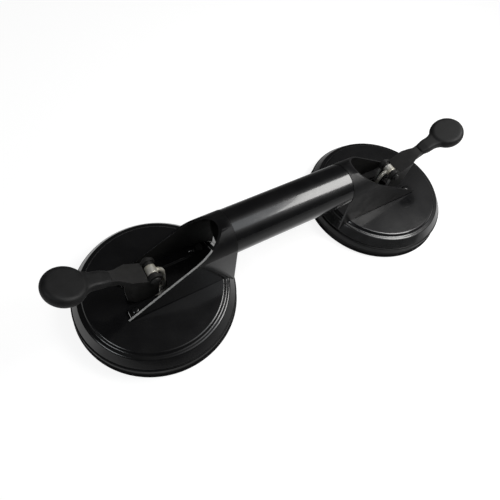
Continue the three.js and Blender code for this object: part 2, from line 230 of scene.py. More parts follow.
def middle(face: Face) -> Vector:
    """A face's middle, in millimetres."""
    return face.calc_center_median() / MM


def looks_in(face: Face, axis: float) -> bool:
    """Whether a face looks towards the handle's axis, which lies at this height."""
    return (middle(face) - Vector((0, 0, axis))).yz.dot(face.normal.yz) < 0


def extrude(x: float, y: float, z: float) -> None:
    """Extrudes what is selected by this run."""
    bpy.ops.mesh.extrude_region_move(TRANSFORM_OT_translate={"value": (x * MM, y * MM, z * MM)})


def widen(x: float, y: float, z: float, height: float = 0.0) -> None:
    """Scales what is selected about the point of the Z axis at this height."""
    bpy.ops.transform.resize(value=(x, y, z), center_override=(0, 0, height * MM))


def round_off(width: float, segments: int) -> None:
    """Bevels the selected edges."""
    bpy.ops.mesh.bevel(offset=width * MM, segments=segments, affect="EDGES")


def merge_doubles() -> None:
    """Merges the vertices that touch, in the whole mesh."""
    pick_all()
    bpy.ops.mesh.remove_doubles(threshold=TOUCH)


def apply_place(piece: Object) -> None:
    """Puts a piece's place, turn and scale into its mesh."""
    activate(piece)
    bpy.ops.object.transform_apply(location=True, rotation=True, scale=True)


def lay(piece: Object, turn: Point, place: Point) -> None:
    """Turns a piece and moves it to its place, in its mesh.

    Args:
        piece: the piece.
        turn: its turn about the axes in degrees.
        place: where it goes.
    """
    piece.rotation_euler = [math.radians(angle) for angle in turn]
    piece.location = [a * MM for a in place]
    apply_place(piece)


def apply_modifier(piece: Object, kind: str, **settings: object) -> None:
    """Adds one modifier and applies it.

    Args:
        piece: the piece.
        kind: the modifier's type.
        settings: the modifier's settings, by name.
    """
    activate(piece)
    modifier = piece.modifiers.new(kind.title(), kind)
    for name, value in settings.items():
        setattr(modifier, name, value)
    bpy.ops.object.modifier_apply(modifier=modifier.name)


def combine(piece: Object, tool: Object, act: Act) -> None:
    """Lets a second solid act on a piece, and removes it."""
    apply_modifier(piece, "BOOLEAN", object=tool, operation=act.value, solver="EXACT")
    bpy.data.objects.remove(tool)


def thicken(piece: Object, wall: float) -> None:
    """Gives a sheet its wall, inwards."""
    apply_modifier(piece, "SOLIDIFY", thickness=wall * MM, offset=-1, use_even_offset=True)


def soften_edges(piece: Object, width: float, angle: float = 30.0, segments: int = 3) -> None:
    """Rounds every edge sharper than an angle in degrees."""
    apply_modifier(
        piece,
        "BEVEL",
        width=width * MM,
        segments=segments,
        limit_method="ANGLE",
        angle_limit=math.radians(angle),
        harden_normals=False,
        miter_outer="MITER_ARC",
    )


def run_together(piece: Object, voxel: float, passes: int) -> None:
    """Runs a piece's joins together under one smooth skin."""
    apply_modifier(piece, "REMESH", mode="VOXEL", voxel_size=voxel * MM)
    apply_modifier(piece, "SMOOTH", factor=0.5, iterations=passes)


def shade(piece: Object, angle: float = 35.0, weighted: bool = True) -> None:
    """Shades a piece smooth.

    Args:
        piece: the piece.
        angle: edges sharper than this many degrees stay sharp.
        weighted: whether large faces keep their own normal.
    """
    activate(piece)
    bpy.ops.object.shade_smooth_by_angle(angle=math.radians(angle))
    if weighted:
        apply_modifier(piece, "WEIGHTED_NORMAL", weight=80, keep_sharp=True)


def primitive(
    name: str, add: Callable[..., set[str]], scale: Point = (1, 1, 1), **settings: object
) -> Object:
    """Adds a primitive, as the start of a piece or a tool.

    Args:
        name: the piece's name.
        add: the operator that adds it.
        scale: its scale along the axes.
        settings: the operator's settings, such as size and place in metres.

    Returns:
        The piece, with its place in its mesh.
    """
    bpy.ops.object.select_all(action="DESELECT")
    add(**settings)
    piece = bpy.context.object
    piece.name = piece.data.name = name
    piece.scale = scale
    apply_place(piece)
    return piece


def circle(
    name: str, sides: int, radius: float, place: Point, filled: bool = False, upright: bool = False
) -> Object:
    """Adds a circle, as the start of a piece.

    Args:
        name: the piece's name.
        sides: how many edges go round.
        radius: its radius.
        place: its middle.
        filled: whether it has a face.
        upright: whether it goes round X and not Z.

    Returns:
        The circle.
    """
    return primitive(
        name,
        bpy.ops.mesh.primitive_circle_add,
        vertices=sides,
        radius=radius * MM,
        fill_type="NGON" if filled else "NOTHING",
        location=[a * MM for a in place],
        rotation=(0, math.pi / 2 if upright else 0, 0),
    )


def block(name: str, low: Point, high: Point) -> Object:
    """Adds a block between two corners.

    Args:
        name: the block's name.
        low: its lowest corner.
        high: its highest corner.

    Returns:
        The block.
    """
    centre = [(a + b) / 2 * MM for a, b in zip(low, high)]
    sides = [(b - a) * MM for a, b in zip(low, high)]
    return primitive(name, bpy.ops.mesh.primitive_cube_add, sides, size=1, location=centre)


def bar(name: str, radius: float, start: Point, end: Point, sides: int = 32) -> Object:
    """Adds a round bar between two points.

    Args:
        name: the bar's name.
        radius: its radius.
        start: the middle of one end.
        end: the middle of the other.
        sides: how many faces go round.

    Returns:
        The bar.
    """
    a, b = Vector(start) * MM, Vector(end) * MM
    return primitive(
        name,
        bpy.ops.mesh.primitive_cylinder_add,
        vertices=sides,
        radius=radius * MM,
        depth=(b - a).length,
        location=(a + b) / 2,
        rotation=(b - a).to_track_quat("Z", "Y").to_euler(),
    )


def drill(piece: Object, radius: float, start: Point, end: Point) -> None:
    """Drills a round hole from one point to another."""
    combine(piece, bar("drill", radius, start, end), Act.CUT)


def drill_rivet_holes(piece: Object, radius: float, places: list[Pair]) -> None:
    """Drills holes down through a piece, at these places in plan."""
    for x, y in places:
        drill(piece, radius, (x, y, 0), (x, y, 30))


def turned(
    name: str, rings: list[Ring], sides: int, solid: bool = False, segments: int = 4
) -> Object:
    """Turns a profile about Z, ring by ring, and rounds its rings.

    Args:
        name: the piece's name.
        rings: the profile in order. One that ends on its first ring is closed there.
        sides: how many faces go round.
        solid: whether the first and last rings are closed with a disc.
        segments: how many steps round a ring's edge.

    Returns:
        The turned piece.
    """
    first, last = rings[0], rings[-1]
    piece = circle(name, sides, first.radius, (0, 0, first.height), solid)
    closed = (first.radius, first.height) == (last.radius, last.height)
    with editing(piece):
        pick_all(Element.VERTEX)
        for before, after in zip(rings, rings[1:]):
            extrude(0, 0, after.height - before.height)
            share = after.radius / before.radius
            widen(share, share, 1, after.height)
        if closed:
            merge_doubles()
        for ring in rings[: len(rings) - int(closed)]:
            if ring.round and pick(piece, Element.EDGE, on_ring(ring)):
                round_off(ring.round, segments)
        pick_all(Element.FACE)
        bpy.ops.mesh.normals_make_consistent(inside=False)
    return piece


def copy_to(piece: Object, name: str, place: Matrix) -> Object:
    """Copies a piece with its mesh.

    Args:
        piece: what is copied.
        name: the copy's name.
        place: matrix that moves the copy's mesh.

    Returns:
        The copy.
    """
    twin = piece.copy()
    twin.data = piece.data.copy()
    twin.name = twin.data.name = name
    bpy.context.scene.collection.objects.link(twin)
    twin.data.transform(place)
    twin.data.update()
    return twin


def node_copy(node: str, name: str, flat: float = 0.6) -> Object:
    """Copies a CAD node as the start of a piece, with its loose triangles merged into whole faces.

    Args:
        node: the node's name.
        name: the copy's name.
        flat: faces that turn by less than this many degrees become one.

    Returns:
        The copy, free of the node's body.
    """
    piece = copy_to(frame["nodes"][node], name, Matrix.Identity(4))
    piece.parent = None
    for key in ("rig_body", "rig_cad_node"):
        del piece[key]
    with editing(piece):
        merge_doubles()
        bpy.ops.mesh.dissolve_limited(
            angle_limit=math.radians(flat), use_dissolve_boundaries=False
        )
    return piece


# Finishes


class Nodes:
    """A node tree that is built by saying what goes into each socket."""

    def __init__(self, tree: bpy.types.NodeTree) -> None:
        """Takes the tree."""
        self.tree = tree

    def fill(self, node: bpy.types.Node, inputs: Inputs) -> None:
        """Links the inputs that come from a socket and sets the others.

        Args:
            node: the node.
            inputs: what goes into it, by the name or number of the input.
        """
        for name, value in inputs.items():
            if isinstance(value, Socket):
                self.tree.links.new(value, node.inputs[name])
            else:
                node.inputs[name].default_value = value

    def add(
        self, kind: str, output: str, inputs: Inputs | None = None, **settings: object
    ) -> Socket:
        """Adds a node.

        Args:
            kind: the node's type, without the words that all of them start with.
            output: the output that is wanted.
            inputs: what goes into the node, by the name or number of the input.
            settings: the node's own settings, by name.

        Returns:
            The wanted output.
        """
        node = self.tree.nodes.new(f"ShaderNode{kind}")
        for name, value in settings.items():
            setattr(node, name, value)
        self.fill(node, inputs or {})
        return node.outputs[output]

    def switch(self, ray: Ray, off: Socket | float, on: Socket | float) -> Socket:
        """One value or another, by whether the ray is of a kind."""
        chooser = self.add("LightPath", ray.value)
        return self.add("Mix", "Result", {"Factor": chooser, "A": off, "B": on})

    def bands(self, value: Socket, steps: tuple[Pair, ...]) -> Socket:
        """Greys by a value.

        Args:
            value: what the greys go by.
            steps: places along the value, and the grey at each.

        Returns:
            The grey.
        """
        grey = self.add("ValToRGB", "Color", {"Fac": value})
        stops = grey.node.color_ramp.elements
        stops[0].position, stops[1].position = steps[0][0], steps[-1][0]
        for position, _ in steps[1:-1]:
            stops.new(position)
        for stop, (_, level) in zip(stops, steps):
            stop.color = (level, level, level, 1)
        return grey


class Sheet(Nodes):
    """A material's nodes: one shader, and patterns that go by where a point lies on the object."""

    def __init__(self, name: str) -> None:
        """Starts a material.

        Args:
            name: the material's name.
        """
        self.material = bpy.data.materials.new(name)
        self.material.use_nodes = True
        super().__init__(self.material.node_tree)
        self.place = self.add("TexCoord", "Object")

    def set(self, **inputs: object) -> None:
        """Says what goes into the shader's sockets, named with underscores for spaces."""
        named = {name.replace("_", " "): value for name, value in inputs.items()}
        self.fill(self.tree.nodes["Principled BSDF"], named)

    def stretched(self, scale: Point) -> Socket:
        """The point's place, scaled along the axes."""
        return self.add("Mapping", "Vector", {"Vector": self.place, "Scale": scale})

    def away(self, place: Socket, point: Point) -> Socket:
        """How far a place is from a point, in metres."""
        return self.add("VectorMath", "Value", {0: place, 1: point}, operation="DISTANCE")

    def noise(self, size: float, detail: float = 3.0, stretch: Point = (1, 1, 1)) -> Socket:
        """A cloud pattern whose blobs are about this size."""
        inputs = {"Vector": self.stretched(stretch), "Scale": 1 / (size * MM), "Detail": detail}
        return self.add("TexNoise", "Fac", inputs)

    def between(
        self,
        pattern: Socket,
        low: float,
        high: float,
        start: float = 0.3,
        end: float = 0.7,
        **settings: object,
    ) -> Socket:
        """Turns a pattern's values from start to end into values from low to high.

        Args:
            pattern: the pattern.
            low: value at the start.
            high: value at the end.
            start: the pattern's value that gives the low one.
            end: the pattern's value that gives the high one.
            settings: the node's own settings, by name.

        Returns:
            The new values.
        """
        inputs = {"Value": pattern, "From Min": start, "From Max": end}
        inputs |= {"To Min": low, "To Max": high}
        return self.add("MapRange", "Result", inputs, **settings)

    def blend(self, share: Socket, first: Point, second: Point) -> Socket:
        """Mixes two colours by a pattern."""
        inputs = {"Factor": share, "A": (*first, 1), "B": (*second, 1)}
        return self.add("Mix", "Result", inputs, data_type="RGBA")

    def plus(self, first: Socket, second: Socket) -> Socket:
        """Adds two patterns."""
        return self.add("Math", "Value", {0: first, 1: second}, operation="ADD")

    def times(self, first: Socket, second: Socket) -> Socket:
        """Multiplies two patterns."""
        return self.add("Math", "Value", {0: first, 1: second}, operation="MULTIPLY")

    def relief(self, pattern: Socket, depth: float) -> None:
        """Raises the surface by a pattern, to a depth in millimetres."""
        inputs = {"Strength": 1.0, "Distance": depth * MM, "Height": pattern}
        self.set(Normal=self.add("Bump", "Normal", inputs))


@dataclass(frozen=True)
class Finish:
    """A finish that drifts between a base colour and a worn one."""

    name: str
    base: Point
    worn: Point

    def make(self) -> Material:
        """Makes the material.

        Returns:
            The material.
        """
        sheet = Sheet(self.name)
        wear_and_glint = self.draw(sheet)
        sheet.set(Base_Color=sheet.blend(wear_and_glint, self.base, self.worn))
        return sheet.material

    def draw(self, sheet: Sheet) -> Socket:
        """Draws all but the colour, which each finish does in its own way.

        Args:
            sheet: the material's nodes.

        Returns:
            The share of the worn colour, which the edge finish uses for a painted highlight.
        """
        raise NotImplementedError(self.name)


@dataclass(frozen=True)
class GlossEnamel(Finish):
    """Black baked enamel: flows out almost like glass, with a faint peel and rubbed patches."""

    name: str = "gloss_enamel"
    base: Point = (0.0045, 0.0045, 0.0052)
    worn: Point = (0.0085, 0.0085, 0.009)
    roughness: Pair = (0.15, 0.22)
    peel: float = 1.6
    depth: float = 0.004

    def draw(self, sheet: Sheet) -> Socket:
        """Draws cloudy patches, scuffs along the handle and the peel.

        Args:
            sheet: the material's nodes.

        Returns:
            The share of the worn colour.
        """
        patches = sheet.noise(14, 4)
        scuffs = sheet.between(sheet.noise(0.9, 2, (1, 0.12, 1)), 0, 0.035, 0.45, 0.8)
        sheet.set(Roughness=sheet.plus(sheet.between(patches, *self.roughness), scuffs))
        sheet.set(IOR=1.52, Coat_Weight=0.35, Coat_Roughness=0.06)
        sheet.relief(sheet.noise(self.peel, 2), self.depth)
        return sheet.between(patches, 0, 1)


@dataclass(frozen=True)
class RubbedAndShadeEnamel(Finish):
    """Black enamel rubbed dull, as hands and cloths leave it on the arches; over the whole far
    saddle it paints shade.
    """

    name: str = "rubbed_and_shade_enamel"
    base: Point = (0.005, 0.005, 0.0056)
    worn: Point = (0.0095, 0.0095, 0.0098)

    def draw(self, sheet: Sheet) -> Socket:
        """Draws a cloudy dullness with rubs.

        Args:
            sheet: the material's nodes.

        Returns:
            The share of the worn colour.
        """
        cloud = sheet.between(sheet.noise(11, 4), 0, 1)
        rubs = sheet.between(sheet.noise(0.8, 2, (1, 0.15, 1)), 0, 0.05)
        sheet.set(Roughness=sheet.plus(sheet.between(cloud, 0.36, 0.46), rubs))
        sheet.set(Specular_IOR_Level=0.3)
        sheet.relief(sheet.noise(1.4, 2), 0.004)
        return cloud


@dataclass(frozen=True)
class InnerCoat(Finish):
    """Thin dull black inside the handle's end, where little of the enamel reaches."""

    name: str = "inner_coat"
    base: Point = (0.008, 0.008, 0.0078)
    worn: Point = (0.015, 0.0148, 0.0138)

    def draw(self, sheet: Sheet) -> Socket:
        """Draws dust on a rough coat.

        Args:
            sheet: the material's nodes.

        Returns:
            The share of the worn colour.
        """
        dust = sheet.between(sheet.noise(7, 5), 0, 1)
        sheet.set(Roughness=sheet.between(dust, 0.7, 0.9, 0, 1), Specular_IOR_Level=0.2)
        sheet.relief(sheet.noise(0.8, 3), 0.02)
        return dust


@dataclass(frozen=True)
class PaintedGlintEdge(Finish):
    """A pale finish for edges that paints a highlight on them, broken in patches."""

    name: str = "painted_glint_edge"
    # Both colours are pale greys that paint a highlight on the edge.
    base: Point = (0.22, 0.22, 0.22)
    worn: Point = (0.78, 0.78, 0.76)

    def draw(self, sheet: Sheet) -> Socket:
        """Draws the painted highlight in broken patches.

        Args:
            sheet: the material's nodes.

        Returns:
            The share of the pale highlight colour.
        """
        patches = sheet.times(sheet.noise(5, 5), sheet.noise(0.7, 3))
        wear_and_glint = sheet.between(patches, 0.3, 1, 0.12, 0.3)
        sheet.set(Metallic=sheet.between(wear_and_glint, 0.0, 0.25, 0.3, 1))
        sheet.set(Roughness=sheet.between(sheet.noise(1.1, 3), 0.25, 0.4))
        sheet.relief(sheet.noise(0.5, 2), 0.01)
        return wear_and_glint


@dataclass(frozen=True)
class SatinCoat(Finish):
    """Thin black coating on stamped steel: satin, with draw lines and lighter rubbed patches."""

    name: str = "satin_coat"
    base: Point = (0.011, 0.0108, 0.0105)
    worn: Point = (0.02, 0.0195, 0.019)

    def draw(self, sheet: Sheet) -> Socket:
        """Draws lines along the stamping.

        Args:
            sheet: the material's nodes.

        Returns:
            The share of the worn colour.
        """
        lines = sheet.noise(0.6, 2, (0.08, 1, 1))
        sheet.set(Roughness=sheet.between(lines, 0.42, 0.54))
        sheet.relief(sheet.plus(lines, sheet.noise(1.2, 2)), 0.006)
        return sheet.between(sheet.noise(6, 5), 0, 1, 0.35, 0.75)


@dataclass(frozen=True)
class MouldedRubber(Finish):
    """Black rubber from a steel mould: dull, with a fine grain and a faint grey bloom."""

    name: str = "moulded_rubber"
    base: Point = (0.004, 0.004, 0.0044)
    worn: Point = (0.011, 0.011, 0.0115)

    def draw(self, sheet: Sheet) -> Socket:
        """Draws the bloom in clouds over the grain.

        Args:
            sheet: the material's nodes.

        Returns:
            The share of the worn colour.
        """
        bloom = sheet.between(sheet.noise(9, 6), 0, 1, 0.35, 0.75)
        sheet.set(Roughness=sheet.between(bloom, 0.4, 0.55, 0, 1), Specular_IOR_Level=0.16)
        sheet.relief(sheet.plus(sheet.noise(0.35, 2), sheet.noise(3, 2)), 0.012)
        return bloom


@dataclass(frozen=True)
class DippedVinyl(Finish):
    """Dark grey vinyl left by dipping: soft sheen over slow ripples, with dust in its pores."""

    name: str = "dipped_vinyl"
    base: Point = (0.0078, 0.0078, 0.0081)
    worn: Point = (0.0142, 0.0142, 0.0147)

    def draw(self, sheet: Sheet) -> Socket:
        """Draws dust in the pores and slow ripples.

        Args:
            sheet: the material's nodes.

        Returns:
            The share of the worn colour.
        """
        pores = sheet.times(sheet.noise(5, 5), sheet.noise(0.5, 2))
        dust = sheet.between(pores, 0, 1, 0.15, 0.4)
        sheet.set(Roughness=sheet.between(dust, 0.5, 0.64, 0, 1), Specular_IOR_Level=0.36)
        sheet.set(Sheen_Weight=0.03, Sheen_Roughness=0.5)
        sheet.relief(sheet.plus(sheet.noise(4, 1), sheet.noise(0.4, 2)), 0.03)
        return dust


@dataclass(frozen=True)
class ZincPlate(Finish):
    """Pale zinc plate with a yellow passivated tint that drifts over the surface."""

    name: str = "zinc_plate"
    base: Point = (0.82, 0.81, 0.77)
    worn: Point = (0.7, 0.66, 0.53)

    def draw(self, sheet: Sheet) -> Socket:
        """Draws the drift of the tint.

        Args:
            sheet: the material's nodes.

        Returns:
            The share of the worn colour.
        """
        sheet.set(Metallic=0.55, Roughness=sheet.between(sheet.noise(0.9, 3), 0.28, 0.44))
        sheet.relief(sheet.noise(0.5, 2), 0.008)
        return sheet.between(sheet.noise(5, 4), 0, 1, 0.35, 0.7)


@dataclass(frozen=True)
class PlainSteel(Finish):
    """Uncoated steel with a grey film and fine turning marks."""

    name: str = "plain_steel"
    base: Point = (0.42, 0.42, 0.41)
    worn: Point = (0.2, 0.19, 0.17)

    def draw(self, sheet: Sheet) -> Socket:
        """Draws the film in clouds over the marks.

        Args:
            sheet: the material's nodes.

        Returns:
            The share of the worn colour.
        """
        film = sheet.between(sheet.noise(3, 5), 0, 1, 0.35, 0.7)
        sheet.set(Metallic=1.0, Roughness=sheet.between(film, 0.3, 0.5, 0, 1))
        sheet.relief(sheet.noise(0.3, 2, (1, 1, 4)), 0.006)
        return film


# A lighter enamel for the flank: it paints light on the far plate's flank.
PAINTED_LIGHT_FLANK = GlossEnamel("painted_light_flank", (0.016, 0.016, 0.0165), (0.03, 0.03, 0.0305))


@dataclass
class Finishes:
    """Every finish on the lifter, made once."""

    enamel: Material = field(default_factory=GlossEnamel().make)
    tube_enamel: Material = field(default_factory=GlossEnamel("tube_enamel", peel=2.4).make)
    # rubbed: dull enamel, worn on the arches and painted shade over the far saddle.
    rubbed: Material = field(default_factory=RubbedAndShadeEnamel().make)
    inner: Material = field(default_factory=InnerCoat().make)
    # flank: lighter enamel that paints light on the far plate's flank.
    flank: Material = field(default_factory=PAINTED_LIGHT_FLANK.make)
    # edge: a pale finish that paints highlights on cut edges and cam rims.
    edge: Material = field(default_factory=PaintedGlintEdge().make)
    coat: Material = field(default_factory=SatinCoat().make)
    rubber: Material = field(default_factory=MouldedRubber().make)
    vinyl: Material = field(default_factory=DippedVinyl().make)
    zinc: Material = field(default_factory=ZincPlate().make)
    steel: Material = field(default_factory=PlainSteel().make)


def paint(piece: Object, *coats: Coat) -> None:
    """Gives a piece its finishes.

    Args:
        piece: the piece.
        coats: a finish all over, then others with the test for the faces that each one covers.
    """
    base, *others = coats
    piece.data.materials.clear()
    piece.data.materials.append(base)
    for slot, (material, test) in enumerate(others, 1):
        piece.data.materials.append(material)
        with editing(piece):
            pick(piece, Element.FACE, test)
            piece.active_material_index = slot
            bpy.ops.object.material_slot_assign()


def exchange(piece: Object, old: Material, new: Material) -> None:
    """Puts one finish in the place of another.

    Args:
        piece: the piece.
        old: the finish that goes.
        new: the finish that comes.
    """
    for slot in piece.material_slots:
        if slot.material == old:
            slot.material = new


# The lifter's pieces


@dataclass
class Plate:
    """Pressed steel plate over the rubber: raised disc, step, ring and a flank down to the rim."""

    hole: float = 8.4
    disc: float = 48.3
    top: float = 20.5
    step_run: float = 1.5
    step_drop: float = 1.8
    ring: float = 52.3
    edge: float = 56.9
    edge_height: float = 12.6
    thickness: float = 1.8
    rivet_bore: float = 2.2
    press_bend: float = 0.8
    flank_bend: float = 1.0
    rim_bend: float = 0.35
    flank_from: float = 52.0
    sides: int = 160

    @property
    def ring_top(self) -> float:
        """Height of the ring round the disc."""
        return self.top - self.step_drop

    def build(self, rivets: list[Pair]) -> Object:
        """Models the plate with its rivet holes.

        Args:
            rivets: places of the rivets in plan.

        Returns:
            The plate in the modelling station.
        """
        rings = [
            Ring(self.hole, self.top),
            Ring(self.disc, self.top, self.press_bend),
            Ring(self.disc + self.step_run, self.ring_top, self.press_bend),
            Ring(self.ring, self.ring_top, self.flank_bend),
            Ring(self.edge, self.edge_height),
        ]
        piece = turned("plate", rings, self.sides)
        with editing(piece):
            if pick(piece, Element.FACE, lambda f: f.normal.z < -0.1):
                bpy.ops.mesh.flip_normals()
        thicken(piece, self.thickness)
        soften_edges(piece, self.rim_bend, 50)
        drill_rivet_holes(piece, self.rivet_bore, rivets)
        shade(piece)
        return piece

    def on_flank(self, face: Face) -> bool:
        """Whether a face is on the sloping flank, outside the ring."""
        return 0.1 < face.normal.z < 0.9 and middle(face).xy.length > self.flank_from

    def coats(self, finishes: Finishes) -> Coats:
        """Gloss enamel, with a lighter enamel on the flank that is painted light."""
        return finishes.enamel, (finishes.flank, self.on_flank)


@dataclass
class RubberCup:
    """Moulded rubber cup: rim under the plate's edge, groove, lip and a dished, ribbed underside.

    The ribs are the underside's rings: share of the cavity's radius, share of its depth, rounding.
    """

    lip: float = 59.0
    lip_edge: float = 1.6
    lip_inset: float = 1.3
    groove: float = 57.2
    groove_height: float = 5.0
    rim: float = 57.9
    rim_base: float = 7.0
    rim_width: float = 2.8
    shoulder: float = 11.8
    cavity: float = 51.5
    cavity_depth: float = 6.0
    middle_top: float = 9.6
    middle_slope: float = 6.0
    rim_inner: float = 46.0
    ring_under: float = 50.6
    stud_hole: float = 1.2
    plate_gap: float = 0.3
    sides: int = 160
    ribs: tuple[Point, ...] = (
        (0.4, 0.95, 0), (0.74, 0.74, 0), (0.8, 0.66, 0.3), (0.82, 0.68, 0.3),
        (0.9, 0.42, 0.3), (0.92, 0.42, 0.3),
    )

    def build(self, plate: Plate) -> Object:
        """Models the cup.

        Args:
            plate: the plate that bears on the rubber's top.

        Returns:
            The cup in the modelling station.
        """
        foot = self.lip - self.lip_inset
        rest = plate.ring_top - plate.thickness - self.plate_gap
        outside = [
            Ring(foot, 0.0, 0.35),
            Ring(self.lip, self.lip_edge, 0.4),
            Ring(self.lip - 0.15, self.lip_edge + 0.5, 0.2),
            Ring(self.groove + 0.3, self.lip_edge + 1.7, 0.3),
            Ring(self.groove, self.groove_height, 0.5),
            Ring(self.rim, self.rim_base, 0.6),
            Ring(self.rim, self.shoulder - 0.2, 0.7),
            Ring(self.rim - self.rim_width, self.shoulder, 0.2),
        ]
        top = [
            Ring(self.ring_under, rest, 0.8),
            Ring(self.rim_inner, rest, 0.8),
            Ring(self.rim_inner - self.middle_slope, self.middle_top, 0.8),
            Ring(self.stud_hole, self.middle_top),
        ]
        underside = [Ring(self.stud_hole, self.cavity_depth)]
        for across, deep, rounding in self.ribs:
            underside.append(Ring(across * self.cavity, deep * self.cavity_depth, rounding))
        underside += [Ring(self.cavity, 0.0, 0.35), Ring(foot, 0.0)]
        piece = turned("rubber_cup", outside + top + underside, self.sides, segments=3)
        shade(piece, 40)
        return piece


@dataclass
class Saddle:
    """Steel strip bent over the handle's end, cut away on a slant, with feet turned in under it."""

    inside: float = 14.8
    wall: float = 1.4
    splay: float = 1.5
    axis: float = 51.3
    inner_end: float = -54.0
    outer_end: float = 33.0
    slant_start: float = -48.0
    slant: float = 32.3
    foot_width: float = 6.6
    foot_from: float = -43.0
    foot_to: float = 24.0
    foot_corner: float = 2.5
    base: float = 20.8
    walls_reach: float = 12.0
    plate_gap: float = 0.3
    rivet_bore: float = 2.2
    bend: float = 1.1
    edge_round: float = 0.22
    rivets: Pair = (-34.0, 19.0)
    steps: int = 36
    inner_coat_to: float = -36.0
    # The painted highlight on the slant cut runs between these heights, on the wall at +Y.
    glint_from: float = 24.0
    glint_to: float = 60.0
    glint_side: float = 6.0

    @property
    def wall_side(self) -> float:
        """Half the width between the walls where they meet the feet."""
        return self.inside + self.splay

    @property
    def cut(self) -> Vector:
        """The way that the slant cut faces."""
        slope = math.radians(self.slant)
        return Vector((math.sin(slope), 0, math.cos(slope)))

    def rivet_places(self) -> list[Pair]:
        """Places of the four rivets in plan."""
        line = self.wall_side - self.foot_width / 2
        return [(x, side * line) for x in self.rivets for side in (1, -1)]

    def arch(self) -> Object:
        """Models the bent strip before it is trimmed.

        Returns:
            The strip, with its walls drawn down past the plate.
        """
        outer = self.inside + self.wall
        drop = self.axis - self.walls_reach
        spread = outer + self.splay * drop / (self.axis - self.base + self.plate_gap)
        start = (self.inner_end, 0, self.axis)
        piece = circle("saddle", self.steps * 2, outer, start, upright=True)
        with editing(piece):
            pick(piece, Element.VERTEX, lambda v: v.co.z < self.axis * MM - TOUCH)
            bpy.ops.mesh.delete(type="VERT")
            pick(piece, Element.VERTEX, lambda v: v.co.z < self.axis * MM + TOUCH)
            extrude(0, 0, -drop)
            widen(1, spread / outer, 1)
            pick_all(Element.EDGE)
            extrude(self.outer_end - self.inner_end, 0, 0)
            pick_all()
            bpy.ops.mesh.normals_make_consistent(inside=False)
            if pick(piece, Element.FACE, lambda f: f.normal.z < -0.5):
                pick_all()
                bpy.ops.mesh.flip_normals()
        thicken(piece, self.wall)
        return piece

    def foot(self, side: int) -> Object:
        """Models one foot.

        Args:
            side: 1 for the wall at +Y, -1 for the other.

        Returns:
            The foot, with round corners at its free side.
        """
        free = side * (self.wall_side - self.foot_width)
        low, high = sorted((side * (self.wall_side + self.wall / 2), free))
        ends = (self.foot_from, low, self.base), (self.foot_to, high, self.base + self.wall)
        piece = block("foot", *ends)
        with editing(piece):
            pick(
                piece,
                Element.EDGE,
                lambda e: run_of(e).z > 0.5
                and all(abs(v.co.y - free * MM) < TOUCH for v in e.verts),
            )
            round_off(self.foot_corner, 6)
        return piece

    def bed(self, plate: Plate) -> Object:
        """Models the tool that leaves room for the plate.

        Args:
            plate: the plate that the saddle stands on.

        Returns:
            The plate's form with a gap round it.
        """
        gap, wide = self.plate_gap, plate.edge + 6
        rings = [
            Ring(wide, -2),
            Ring(wide, plate.edge_height - 7.3),
            Ring(plate.edge + 0.8 * gap, plate.edge_height + 0.6 * gap),
            Ring(plate.ring + 0.6 * gap, plate.ring_top + gap, 0.6),
            Ring(plate.disc + plate.step_run + 0.1, plate.ring_top + gap),
            Ring(plate.disc + 0.1, plate.top + gap, 0.5),
        ]
        return turned("bed", rings, 128, solid=True)

    def build(self, plate: Plate) -> Object:
        """Models the saddle.

        Args:
            plate: the plate it stands on.

        Returns:
            The saddle in the modelling station.
        """
        piece = self.arch()
        for side in (1, -1):
            combine(piece, self.foot(side), Act.ADD)
        combine(piece, self.bed(plate), Act.CUT)
        start = (self.slant_start * MM, 0, (self.axis + self.inside + self.wall) * MM)
        with editing(piece):
            pick_all()
            bpy.ops.mesh.bisect(plane_co=start, plane_no=self.cut, use_fill=True, clear_outer=True)
            pick_all()
            bpy.ops.mesh.bisect(plane_co=(0, 0, self.glint_to * MM), plane_no=(0, 0, 1))
        drill_rivet_holes(piece, self.rivet_bore, self.rivet_places())
        with editing(piece):
            if pick(piece, Element.EDGE, self.on_fold):
                round_off(self.bend, 4)
        soften_edges(piece, self.edge_round, 40, 2)
        shade(piece)
        return piece

    def on_fold(self, edge: Edge) -> bool:
        """Whether an edge runs along the outside of the fold between a wall and its foot."""
        outer = self.wall_side + self.wall
        return run_of(edge).x > 2 and all(
            abs(v.co.z - self.base * MM) < 0.02 * MM and abs(v.co.y) > (outer - 0.4) * MM
            for v in edge.verts
        )

    def above_axis(self, face: Face) -> bool:
        """Whether a face is on the arch and not on the walls under it."""
        return middle(face).z > self.axis

    def round_handle(self, face: Face) -> bool:
        """Whether a face is inside, round the handle's end."""
        return middle(face).x < self.inner_coat_to and looks_in(face, self.axis)

    def on_painted_glint_edge(self, face: Face) -> bool:
        """Tells where a highlight is painted on the slant cut.

        Args:
            face: the face.

        Returns:
            Whether the face is on the cut of the wall at +Y, between the painted highlight's ends.
        """
        _, y, z = middle(face)
        flat = face.normal.dot(self.cut) > 0.995
        return flat and self.glint_from < z < self.glint_to and y > self.glint_side

    def coats(self, finishes: Finishes) -> Coats:
        """Gloss enamel, rubbed on the arch and dull inside, with a highlight painted on one cut
        edge.
        """
        return (
            finishes.enamel,
            (finishes.rubbed, self.above_axis),
            (finishes.inner, self.round_handle),
            (finishes.edge, self.on_painted_glint_edge),
        )


